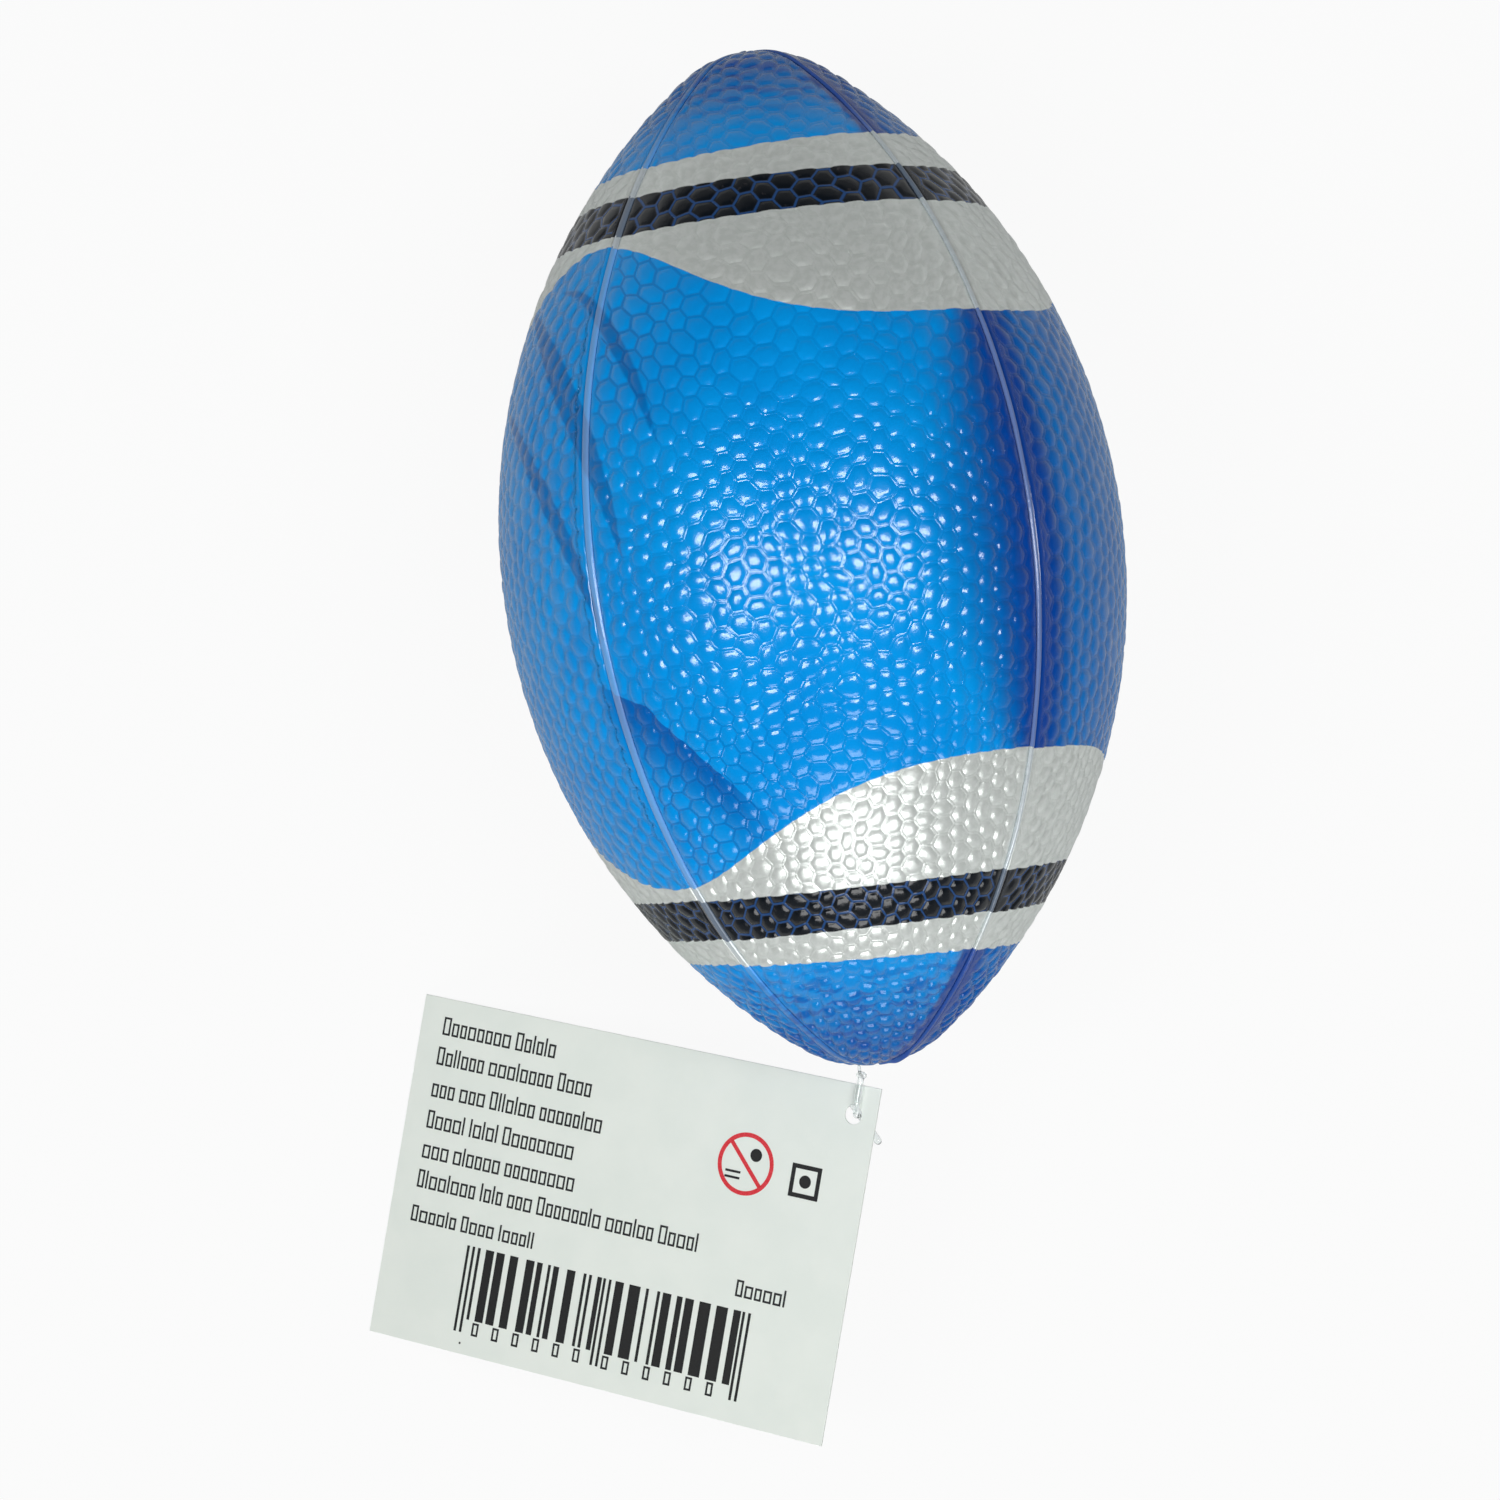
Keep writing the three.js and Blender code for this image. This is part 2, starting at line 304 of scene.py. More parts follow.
def groove_distance(tree, place):
    """How far a place is from the middle of its pebble: 0 in the middle and 1 in the groove."""
    half, minus = (COLUMN, PITCH / 2, 1.0), (-COLUMN, -PITCH / 2, -1.0)
    shifted = add(tree, VECTOR_MATH, {0: place, 1: half}, operation="SUBTRACT")
    one = add(tree, VECTOR_MATH, {0: place, 1: half, 2: minus}, operation="WRAP")
    other = add(tree, VECTOR_MATH, {0: shifted, 1: half, 2: minus}, operation="WRAP")
    far_one = add(tree, VECTOR_MATH, {0: one}, operation="LENGTH")
    far_other = add(tree, VECTOR_MATH, {0: other}, operation="LENGTH")
    nearer = add(tree, MATH, {0: far_other, 1: far_one}, operation="LESS_THAN")
    own = add(tree, MIX, {0: nearer, 4: one, 5: other}, data_type="VECTOR")
    size = add(tree, VECTOR_MATH, {0: own}, operation="ABSOLUTE")
    upright = add(tree, SPLIT, {0: size}).outputs[1]
    slant = (math.sqrt(3) / 2, 0.5, 0)
    slanted = add(tree, VECTOR_MATH, {0: size, 1: slant}, operation="DOT_PRODUCT")
    wall = add(tree, MATH, {0: upright, 1: slanted}, operation="MAXIMUM")
    return add(tree, MATH, {0: wall, 1: PITCH / 2}, operation="DIVIDE")


# The film's printed tones and its painted shades and sheen, each laid over those before it, and how far an
# ink's soft edge reaches (mm)
AZURE, DEEP_AZURE, ROYAL, TIP_SHADE_BLUE, RIPPLE_SHADE_BLUE = "#0093E2", "#008ADA", "#003C92", "#08408E", "#003A98"
SWEEP_BLUE, RIBBON_BLUE, GROOVE_SHADE_BLUE, NIGHT_BLUE = "#0056A8", "#00438C", "#004A94", "#00388A"
SILVER, PALE_SILVER, BLACK, WORN_BLACK, BLACK_GROOVE = "#D3D9D5", "#DDE2DF", "#0B1118", "#2B2A2C", "#1D4478"
# The pale sheen laid over the welded bead: a painted reflection
WELD_SHEEN = "#A8BCD6"
INK_EDGE, RIBBON_EDGE, SWEEP_EDGE = 0.07, 0.3, 0.15


def printed_film(name, painted_sheen=0.0):
    """Glossy PVC film, printed on its back and embossed: clear saturated inks under a wet-looking gloss. The
    blue is darker in the grooves, partly from thinner ink and partly painted shade. The last argument lays a
    pale painted sheen, standing in for reflection, over the welded bead."""
    made, tree, shader = material(name)
    emboss = add(tree, "ShaderNodeUVMap", uv_map="Emboss")
    place = add(tree, VECTOR_MATH, {0: emboss, 3: MAP_UNIT}, operation="SCALE")
    across, up, _ = add(tree, SPLIT, {0: place}).outputs
    from_waist = add(tree, MATH, {0: up}, operation="ABSOLUTE")
    stored = [
        add(tree, "ShaderNodeAttribute", attribute_name=layer).outputs["Vector"]
        for layer in ("inks", "tones", "marks")
    ]
    silver, black, relief = add(tree, SPLIT, {0: stored[0]}).outputs
    royal, night, shade = add(tree, SPLIT, {0: stored[1]}).outputs
    ribbon, swoosh, fading = add(tree, SPLIT, {0: stored[2]}).outputs
    # In millimetres: clouds 20 across in the ink, flecks of 1.1, the film's orange peel of 0.9, and ripples 7
    # long and 1.6 wide, painted as shade where the film is gathered at the tips
    cloud = add(tree, NOISE, {"Vector": place, "Scale": 0.05, "Detail": 2.0})
    fleck = add(tree, NOISE, {"Vector": place, "Scale": 0.9, "Detail": 4.0})
    peel = add(tree, NOISE, {"Vector": place, "Scale": 1.1, "Detail": 3.0})
    drawn_out = add(tree, VECTOR_MATH, {0: place, 1: (0.14, 0.62, 1.0)}, operation="MULTIPLY")
    ripple = add(tree, NOISE, {"Vector": drawn_out, "Scale": 1.0, "Detail": 2.0})

    # The grooves, and how much darker the blue is in them, partly thinner ink and partly painted shade: most
    # of all halfway to the tips
    wall = groove_distance(tree, place)
    cut = add(tree, RANGE, {VALUE: wall, LOW: 0.82, HIGH: 0.97}, **SMOOTHSTEP)
    groove = add(tree, MATH, {0: cut, 1: relief}, operation="MULTIPLY")
    shadowed = groove
    for value, low, high, to_low, to_high in [
        (from_waist, 10.0, 36.0, 0.06, 0.42),
        (from_waist, 60.0, 72.0, 1.0, 0.1),
        (across, -26.0, 4.0, 1.0, 0.35),
    ]:
        part = add(
            tree, RANGE, {VALUE: value, LOW: low, HIGH: high, TO_LOW: to_low, TO_HIGH: to_high}, **SMOOTHSTEP
        )
        shadowed = add(tree, MATH, {0: shadowed, 1: part}, operation="MULTIPLY")

    # The blues
    # Painted shade: dark streaks in the ripples at the tips stand in for the shadows of the gathered film
    ripple_shadow = add(tree, RANGE, {VALUE: ripple, LOW: 0.48, HIGH: 0.6, TO_HIGH: 0.55}, **SMOOTHSTEP)
    at_tips = add(tree, RANGE, {VALUE: from_waist, LOW: 70.0, HIGH: 82.0}, **SMOOTHSTEP)
    ripple_shade = add(tree, MATH, {0: ripple_shadow, 1: at_tips}, operation="MULTIPLY")
    under = add(tree, RANGE, {VALUE: swoosh, LOW: -SWEEP_EDGE, HIGH: SWEEP_EDGE}, **SMOOTHSTEP)
    sweep = add(tree, MATH, {0: under, 1: fading}, operation="MULTIPLY")
    stroke = add(
        tree, RANGE, {VALUE: ribbon, LOW: -RIBBON_EDGE, HIGH: RIBBON_EDGE, TO_HIGH: 0.52}, **SMOOTHSTEP
    )
    drift = add(tree, RANGE, {VALUE: cloud, LOW: 0.3, HIGH: 0.7}, **SMOOTHSTEP)
    blue = add(tree, MIX, {FACTOR: drift, FIRST: hex_colour(DEEP_AZURE), SECOND: hex_colour(AZURE)}, **COLOUR)
    for share, ink in [
        (royal, ROYAL), (shade, TIP_SHADE_BLUE), (ripple_shade, RIPPLE_SHADE_BLUE), (sweep, SWEEP_BLUE),
        (stroke, RIBBON_BLUE), (shadowed, GROOVE_SHADE_BLUE), (night, NIGHT_BLUE),
    ]:
        blue = add(tree, MIX, {FACTOR: share, FIRST: blue, SECOND: hex_colour(ink)}, **COLOUR)

    # The silver and the black over them
    worn = add(tree, RANGE, {VALUE: fleck, LOW: 0.38, HIGH: 0.62}, **SMOOTHSTEP)
    grey = add(tree, MIX, {FACTOR: worn, FIRST: hex_colour(SILVER), SECOND: hex_colour(PALE_SILVER)}, **COLOUR)
    scuff = add(tree, RANGE, {VALUE: fleck, LOW: 0.6, HIGH: 0.75}, **SMOOTHSTEP)
    dark = add(tree, MIX, {FACTOR: scuff, FIRST: hex_colour(BLACK), SECOND: hex_colour(WORN_BLACK)}, **COLOUR)
    dark = add(tree, MIX, {FACTOR: groove, FIRST: dark, SECOND: hex_colour(BLACK_GROOVE)}, **COLOUR)
    is_silver = add(tree, RANGE, {VALUE: silver, LOW: -INK_EDGE, HIGH: INK_EDGE})
    is_black = add(tree, RANGE, {VALUE: black, LOW: -INK_EDGE, HIGH: INK_EDGE})
    colour = add(tree, MIX, {FACTOR: is_silver, FIRST: blue, SECOND: grey}, **COLOUR)
    colour = add(tree, MIX, {FACTOR: is_black, FIRST: colour, SECOND: dark}, **COLOUR)
    # A painted sheen stands in for the bead's reflection, fading towards the tips
    if painted_sheen:
        fading_out = {LOW: 62.0, HIGH: 78.0, TO_LOW: painted_sheen, TO_HIGH: 0.2 * painted_sheen}
        sheen_share = add(tree, RANGE, {VALUE: from_waist, **fading_out}, **SMOOTHSTEP)
        colour = add(tree, MIX, {FACTOR: sheen_share, FIRST: colour, SECOND: hex_colour(WELD_SHEEN)}, **COLOUR)

    # The silver ink holds fine metal flake, so it is partly metallic and less sharp than the plain film
    pearl = add(tree, MATH, {0: is_silver, 1: is_black}, operation="SUBTRACT", use_clamp=True)
    metallic = add(tree, MATH, {0: pearl, 1: 0.42}, operation="MULTIPLY")
    roughness = add(tree, RANGE, {VALUE: pearl, TO_LOW: 0.16, TO_HIGH: 0.3})
    fine = add(tree, MATH, {0: peel, 1: 0.03}, operation="MULTIPLY")
    height = add(tree, MATH, {0: groove, 1: -0.05, 2: fine}, operation="MULTIPLY_ADD")
    bump = add(tree, "ShaderNodeBump", {"Height": height, "Distance": MM, "Strength": 1.0})
    finish = {"Metallic": metallic, "Roughness": roughness, "IOR": 1.5, "Normal": bump}
    wire(tree, shader, {"Base Color": colour, **finish})
    return made


def clear_plastic():
    """Injection-moulded polypropylene: clear, a little milky, with smooth bright edges."""
    made, tree, shader = material("clear_polypropylene")
    place = add(tree, "ShaderNodeTexCoord").outputs["Object"]
    # Flow marks about 1.1 mm apart
    flow = add(tree, NOISE, {"Vector": place, "Scale": 900.0, "Detail": 2.0})
    rough = add(tree, RANGE, {VALUE: flow, LOW: 0.3, HIGH: 0.7, TO_LOW: 0.1, TO_HIGH: 0.22})
    bump = add(tree, "ShaderNodeBump", {"Height": flow, "Distance": 0.02 * MM, "Strength": 0.6})
    clear = {"Base Color": hex_colour("#EEF3F2"), "IOR": 1.49, "Transmission Weight": 0.85}
    wire(tree, shader, {**clear, "Roughness": rough, "Normal": bump})
    return made


def coated_card():
    """Coated tag board: cool greenish white, matt, with a faint mottle and a fine fibre under it."""
    made, tree, shader = material("coated_tag_board")
    place = add(tree, "ShaderNodeTexCoord").outputs["Object"]
    # Clouds about 8 mm across in the coating, and fibres 0.45 mm apart, coarser than real so they show
    mottle = add(tree, NOISE, {"Vector": place, "Scale": 120.0, "Detail": 3.0})
    fibre = add(tree, NOISE, {"Vector": place, "Scale": 2200.0, "Detail": 3.0})
    shift = add(tree, RANGE, {VALUE: mottle, LOW: 0.3, HIGH: 0.7}, **SMOOTHSTEP)
    shades = {FIRST: hex_colour("#E3EAE3"), SECOND: hex_colour("#E7EDE6")}
    colour = add(tree, MIX, {FACTOR: shift, **shades}, **COLOUR)
    rough = add(tree, RANGE, {VALUE: fibre, LOW: 0.3, HIGH: 0.7, TO_LOW: 0.48, TO_HIGH: 0.6})
    bump = add(tree, "ShaderNodeBump", {"Height": fibre, "Distance": 0.02 * MM, "Strength": 0.7})
    wire(tree, shader, {"Base Color": colour, "Roughness": rough, "Normal": bump})
    return made


def offset_ink(name, low, high):
    """Offset printing ink on coated board: flat colour that lets a little of the board's fibre show."""
    made, tree, shader = material(name)
    place = add(tree, "ShaderNodeTexCoord").outputs["Object"]
    # Fibres 0.3 mm apart, coarser than real so they show
    fibre = add(tree, NOISE, {"Vector": place, "Scale": 3500.0, "Detail": 2.0})
    thin = add(tree, RANGE, {VALUE: fibre, LOW: 0.4, HIGH: 0.7}, **SMOOTHSTEP)
    colour = add(tree, MIX, {FACTOR: thin, FIRST: hex_colour(low), SECOND: hex_colour(high)}, **COLOUR)
    wire(tree, shader, {"Base Color": colour, "Roughness": 0.6})
    return made


def open_foam():
    """Flexible polyurethane foam: cream, matt, with pin-head cells whose middles are darker, a painted shade
    in the pores.
    """
    made, tree, shader = material("flexible_polyurethane_foam")
    place = add(tree, "ShaderNodeTexCoord").outputs["Object"]
    # Cells about 0.9 mm across
    cells = add(tree, "ShaderNodeTexVoronoi", {"Vector": place, "Scale": 1100.0})
    # Painted shade: each cell is darker towards its middle, where the pore sinks in
    pore_shade = add(tree, RANGE, {VALUE: cells, LOW: 0.1, HIGH: 0.6}, **SMOOTHSTEP)
    shades = {FIRST: hex_colour("#CFC39C"), SECOND: hex_colour("#EFE8D2")}
    colour = add(tree, MIX, {FACTOR: pore_shade, **shades}, **COLOUR)
    bump = add(tree, "ShaderNodeBump", {"Height": cells, "Distance": 0.3 * MM, "Strength": 0.8})
    wire(tree, shader, {"Base Color": colour, "Roughness": 0.95, "Normal": bump})
    return made


FILM = printed_film("embossed_printed_film")
BEAD_FILM = printed_film("welded_film_bead", painted_sheen=0.34)
THIN_BEAD_FILM = printed_film("thinly_welded_film_bead", painted_sheen=0.3)
CLEAR = clear_plastic()
BOARD = coated_card()
BLACK_INK = offset_ink("black_offset_ink", "#0B0C0D", "#131517")
TEXT_INK = offset_ink("soft_black_offset_ink", "#17191A", "#222527")
RED_INK = offset_ink("red_offset_ink", "#D3222F", "#DC3A44")
FOAM = open_foam()


# Pin, where it lies in the tip

anchor_low, anchor_high = (np.array(v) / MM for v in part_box("pin_anchor"))
STUB_RADIUS, ANCHOR_RADIUS = 0.3, 0.6
ANCHOR_Y = anchor_high[1] - ANCHOR_RADIUS
EXIT_X = (anchor_low[0] + anchor_high[0]) / 2
PIN_EXIT = np.array([EXIT_X, -CAP_CENTRE - math.sqrt(TIP_RADIUS**2 - EXIT_X**2), 0.0])


# Panels and beads


RIGHT, LOW_RIGHT, LOW_LEFT, LEFT = SEAMS.values()
# How far the print of one panel is out of line with the next, at the two upper seams
MISREGISTER = 0.35


def around(lon):
    """A longitude from -180 to 180."""
    return (lon + 180) % 360 - 180


def plain_margin(name, from_first, from_last):
    """Where the embossing is: 0 on the plain margins beside the seams, and 1 on the pebbles."""
    wide_first = 3.0 if name == "panel_right" else 1.1
    return smooth(from_first, 0.4, wide_first) * smooth(from_last, 0.4, 1.3)


def print_of(made, lon, along, relief, used, night):
    """Gives a piece its inks, its tones and the map that the embossing follows."""
    radius, axial = ring(along)
    lon = around(lon)
    inked = axial + MISREGISTER * ((lon > RIGHT) * 1.0 - (lon < LEFT - 360))
    # Royal blue: on both sides of the right seam, widest at the waist, and again on the far side
    halves = (lon + 48.5) % 180 - 48.5
    waist = np.clip(1 - (axial / 37) ** 2, 0, 1)
    royal = smooth(halves, 33 - 19 * waist, 41)
    royal = royal * (1 - 0.45 * smooth(halves, 44, 54)) * (1 - smooth(halves, 66, 100))
    # Painted shade: darker towards both tips, where the ends turn away from the lamps
    shade = 0.72 * smooth(np.abs(axial), 64, 82)
    swoosh = swoosh_ink(lon, inked)
    fading = 0.9 * (1 - smooth(swoosh, 0.5, 15)) * (1 - smooth(lon, -27, -14)) * smooth(lon, -50, -41)
    for name, values in {
        "inks": (silver_ink(lon, inked), black_ink(lon, inked), relief),
        "tones": (royal, night, shade),
        "marks": (ribbon_ink(lon, axial, radius), swoosh, fading),
    }.items():
        give(made, name, np.stack([v.ravel() for v in values], 1)[used])
    give_map(made, "Emboss", np.stack([v.ravel() for v in emboss_map(lon, along)], 1)[used] / MAP_UNIT)


# Where the embossing is centred on each panel. The lower panel is met from both sides.
PANEL_MIDDLES = np.array([-1.0, 88.25, 180.0, -91.25, -180.0])


def lon_of(lon):
    """A longitude measured from the middle of the nearest panel."""
    away = lon[..., None] - PANEL_MIDDLES
    return np.take_along_axis(away, np.abs(away).argmin(-1)[..., None], -1)[..., 0]


def emboss_map(lon, along):
    """Where a place lies on the embossing roller's pattern, in millimetres: the columns follow the
    panel and draw together towards the tips, and the film's stretch makes them wander a little."""
    radius, _ = ring(along)
    wider = 1 + 0.22 * smooth(along, 15, 60) - 0.14 * smooth(-along, 10, 50)
    across = np.radians(lon_of(lon)) * np.maximum(radius, 0) ** 0.8 * BALL_RADIUS**0.2 / wider
    up = along / (1 + 0.06 * smooth(along, 15, 60) - 0.04 * smooth(-along, 10, 50))
    turn = np.round((lon + 1) / 90.0) * 2.1
    moved_across, moved_up = 0, 0
    for k, (wide, tall, size) in enumerate(STRETCH_WAVES):
        moved_across = moved_across + size * np.sin(across / wide + up / tall + turn + 1.3 * k)
        moved_up = moved_up + 0.8 * size * np.sin(across / tall - up / wide + 0.7 * k - turn)
    return across + moved_across, up + moved_up


def chance(across, up, seed):
    """A steady random number from 0 to 1 for each pebble."""
    return np.modf(np.abs(np.sin(across * 1.37 + up * 7.91 + seed) * 4375.85))[0]


def emboss(lon, along):
    """The height of the pebbles, from 0 in the grooves to about 1 on top. No two are quite alike."""
    across, up = emboss_map(lon, along)

    def nearest(across_from, up_from):
        i = np.round((across - across_from) / (2 * COLUMN)) * 2 * COLUMN + across_from
        j = np.round((up - up_from) / PITCH) * PITCH + up_from
        return i, j

    one, other = nearest(0, 0), nearest(COLUMN, PITCH / 2)
    far_one = np.hypot(across - one[0], up - one[1])
    far_other = np.hypot(across - other[0], up - other[1])
    own = [np.where(far_other < far_one, b, a) for a, b in zip(one, other)]
    x, y = across - own[0], up - own[1]
    wall = np.maximum(np.abs(y), np.abs(x) * math.sqrt(3) / 2 + np.abs(y) / 2) / (PITCH / 2)
    lean_x, lean_y, size = (chance(own[0], own[1], seed) for seed in (0.3, 2.1, 4.4))
    x, y = x - 0.5 * (lean_x - 0.5), y - 0.5 * (lean_y - 0.5)
    crown = 1 - (0.74 * x * x + 0.5 * y * y) / (PITCH / 2) ** 2
    return np.maximum(crown, 0) * (0.84 + 0.32 * size) * (1 - smooth(wall, 0.62, 1.0))


def spun(radius, axial, lon):
    """Places on the ball from the radius, the place on the long axis and the longitude."""
    turn = np.radians(lon)
    return np.stack([radius * np.sin(turn), axial + 0 * turn, radius * np.cos(turn)], -1)


# How finely a panel is divided: about 0.4 mm outside, and coarser inside where it is plain
ROWS, COLUMNS, INNER_COLUMNS = 520, 168, 12


def cover_panel(name, first, last, first_bead, last_bead):
    """One quarter of the cover, embossed outside and plain inside, closed along both seams."""
    middle, half = (first + last) / 2, math.radians(last - first) / 2
    clear = (BEAD_WIDTHS[first_bead] + BEAD_WIDTHS[last_bead]) / 4 + BEAD_CLEARANCE
    reach = reach_to(clear / math.sin(half))
    along = np.linspace(-reach, reach, ROWS + 1)[:, None]
    radius, axial = ring(along)
    # How far each edge holds off the seam, which is the same on both sides at the very tips
    nip = smooth(1 - np.abs(along) / reach, 0, 0.05)
    hold = [BEAD_WIDTHS[bead] / 2 + BEAD_CLEARANCE for bead in (first_bead, last_bead)]
    hold = [clear + (h - clear) * nip for h in hold]
    low, high = (np.maximum(half - np.arcsin(np.minimum(h / radius, 1)), 0) for h in hold)

    def grid(columns):
        share = np.linspace(0, 1, columns + 1)[None]
        return middle + np.degrees(-low + (low + high) * share), along + 0 * share

    lon, far = grid(COLUMNS)
    from_first = radius * np.sin(np.minimum(np.radians(lon - first), math.pi / 2)) - hold[0]
    from_last = radius * np.sin(np.minimum(np.radians(last - lon), math.pi / 2)) - hold[1]
    relief = plain_margin(name, from_first, from_last)
    signed = around(lon)
    # The tuck beside the right seam at both tips, where the film lies flatter and looks darker
    night = np.zeros(lon.shape)
    if name in ("panel_top", "panel_right"):
        beside, darkness = (from_last, 0.9) if name == "panel_top" else (from_first, 0.45)
        tip_ward = smooth(np.abs(axial), 63, 67) * (1 - smooth(axial, 76, 79))
        reach_in = np.where(axial > 0, 1.1, 1.7)
        tuck = (1 - smooth(beside, reach_in, reach_in + 0.7)) * tip_ward
        night = darkness * tuck
        relief = relief * (1 - 0.5 * tuck)
    # The film is drawn flatter where it is stretched most, over the middle of each panel
    off_middle = smooth(np.abs(lon_of(signed)), 20, 36) * (1 - smooth(far, 40, 52))
    deeper = 1 + np.maximum(0.55 * off_middle, 0.6 * smooth(far, 76, 88) + 1.0 * smooth(-far, 70, 84))
    depth = PEBBLE_RELIEF * deeper * (0.55 - emboss(signed, far)) * relief
    rounded = 0.16 * (1 - smooth(np.minimum(from_first, from_last), 0, 0.5))
    # The film is dragged inwards a little where the pin goes through it
    from_pin = np.linalg.norm(spun(*ring(far), lon) - PIN_EXIT, axis=-1)
    dimple = 0.35 * (1 - smooth(from_pin, 0.3, 1.6))
    depth = depth * smooth(from_pin, 0.8, 2.4)
    outer = spun(*ring(far, depth + rounded + dimple), lon)
    lon_in, far_in = grid(INNER_COLUMNS)
    inner = spun(*ring(far_in, SKIN), lon_in)
    made, used = closed_strip(name + "_cover", outer, inner)
    plain = 0 * lon_in
    pairs = ((lon, lon_in), (far, far_in), (relief, plain), (night, plain))
    lon, far, relief, night = (flatten(a, b) for a, b in pairs)
    print_of(made, lon, far, relief, used, night)
    made.data.materials.append(FILM)
    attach(made, "ball")
    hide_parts(name)


BEAD_ROWS = 400
# How deep the bead's edges lie below the cover
BEAD_SUNK = 0.16


def seam_bead(name, lon):
    """The rib where two films are pinched together and welded: a low rounded strip."""
    reach = reach_to(0.3)
    along = np.linspace(-reach, reach, BEAD_ROWS + 1)[:, None]
    radius, _ = ring(along)
    full, proud_by = BEAD_WIDTHS[name] / 2, BEAD_PROUD[name]
    width = np.minimum(full, radius * math.sin(math.radians(42)))
    height, ear_at, ear_half = BURRS.get(name, (0, 0, 1))
    burr = height * np.exp(-(((along - ear_at) / ear_half) ** 4))
    turn = math.radians(lon)

    def grid(columns, outside):
        share = np.linspace(-1, 1, columns + 1)[None]
        far, depth = along + 0 * share, SKIN
        if outside:
            uneven = 1 + 0.12 * np.sin(along / 5.3 + lon) + 0.08 * np.sin(along / 2.1)
            crown = np.sqrt(1 - 0.97 * np.abs(share) ** 3)
            depth = BEAD_SUNK - (proud_by + BEAD_SUNK + burr) * crown * width / full * uneven
        r, y = ring(far, depth)
        off = width * share
        out = np.sqrt(np.maximum(r**2 - off**2, 0))
        x, z = out * math.sin(turn) + off * math.cos(turn), out * math.cos(turn) - off * math.sin(turn)
        return np.stack([x, y, z], -1), lon + np.degrees(np.arctan2(off, np.maximum(out, 1e-6))), far

    outer, lon_out, far_out = grid(10, outside=True)
    inner, lon_in, far_in = grid(2, outside=False)
    made, used = closed_strip(f"seam_bead_{name}_weld", outer, inner)
    lon_all, far_all = flatten(lon_out, lon_in), flatten(far_out, far_in)
    print_of(made, lon_all, far_all, 0 * far_all, used, 0 * far_all)
    made.data.materials.append(THIN_BEAD_FILM if name == "upper_right" else BEAD_FILM)
    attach(made, "ball")
    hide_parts(f"seam_bead_{name}")


cover_panel("panel_top", LEFT - 360, RIGHT, "upper_left", "upper_right")
cover_panel("panel_right", RIGHT, LOW_RIGHT, "upper_right", "lower_right")
cover_panel("panel_bottom", LOW_RIGHT, LOW_LEFT, "lower_right", "lower_left")
cover_panel("panel_left", LOW_LEFT, LEFT, "lower_left", "upper_left")
for seam, lon in SEAMS.items():
    seam_bead(seam, lon)


# Foam core


FOAM_GAP = 0.3


def cut_anchor_slot(foam):
    """Cuts the slot that the pin's anchor and stub leave in the foam."""
    spare, past_the_foam = 0.1, 2
    stub_length = ANCHOR_Y - anchor_low[1] + past_the_foam
    bar_length = anchor_high[0] - anchor_low[0] + 2 * spare
    rods = [
        (STUB_RADIUS + spare, stub_length, (EXIT_X, ANCHOR_Y - stub_length / 2, 0), (math.pi / 2, 0, 0)),
        (ANCHOR_RADIUS + spare, bar_length, (EXIT_X, ANCHOR_Y, 0), (0, math.pi / 2, 0)),
    ]
    for radius, length, place, turn in rods:
        bpy.ops.mesh.primitive_cylinder_add(
            vertices=24, radius=radius * MM, depth=length * MM, location=Vector(place) * MM, rotation=turn
        )
        rod = bpy.context.object
        cut = foam.modifiers.new("anchor_slot", "BOOLEAN")
        cut.object, cut.operation, cut.solver = rod, "DIFFERENCE", "EXACT"
        bpy.context.view_layer.objects.active = foam
        bpy.ops.object.modifier_apply(modifier="anchor_slot")
        bpy.data.objects.remove(rod)


def foam_core():
    """The oval foam body: the cover's own outline moved in. The pin's anchor lies in a slot cut for it."""
    bpy.ops.mesh.primitive_uv_sphere_add(segments=96, ring_count=72, radius=1)
    made = bpy.context.object
    made.name = "foam_core_body"
    bm = bmesh.new()
    bm.from_mesh(made.data)
    full = SIDE_REACH + (math.pi / 2 - JOIN) * TIP_RADIUS
    for vert in bm.verts:
        along = math.asin(max(-1, min(1, vert.co.z))) / (math.pi / 2) * full
        radius, axial = ring(np.array(along), SKIN + FOAM_GAP)
        turn = math.atan2(vert.co.x, vert.co.y)
        radius = max(float(radius), 0)
        vert.co = Vector((radius * math.sin(turn), float(axial), radius * math.cos(turn))) * MM
    bmesh.ops.recalc_face_normals(bm, faces=bm.faces)
    bm.to_mesh(made.data)
    bm.free()
    bpy.ops.object.shade_smooth()
    cut_anchor_slot(made)
    made.data.materials.clear()
    made.data.materials.append(FOAM)
    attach(made, "ball")
    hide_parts("foam_core")


foam_core()


# Tag: the card is modelled flat, with its hole's middle at the origin, and then laid in its pose

CARD_SIZE = Vector((90, 60, 0.4))
CARD_CORNER = 0.7
HOLE_FROM_RIGHT, HOLE_FROM_TOP, HOLE_DIAMETER = 4.3, 5.1, 3.2
card_turn = next(joint for joint in frame["joints"] if joint["name"] == "card_turn")
front = Vector(card_turn["axis"]).normalized()


def card_frame():
    """The card's own directions and the middle of its hole, from its joint and its CAD node."""
    corners = np.array([v.co for v in nodes["tag_card"].data.vertices])
    down = front.cross(Vector((0, 0, 1))).normalized()
    if down.y > 0:
        down = -down
    to_right = down.cross(front) * -1
    if to_right.x < 0:
        to_right = -to_right
    reach = [corners @ np.array(d) for d in (to_right, down, front)]
    middle = to_right * (reach[0].max() - HOLE_FROM_RIGHT * MM) + down * (reach[1].min() + HOLE_FROM_TOP * MM)
    middle += front * (reach[2].max() + reach[2].min()) / 2
    return to_right, down, middle


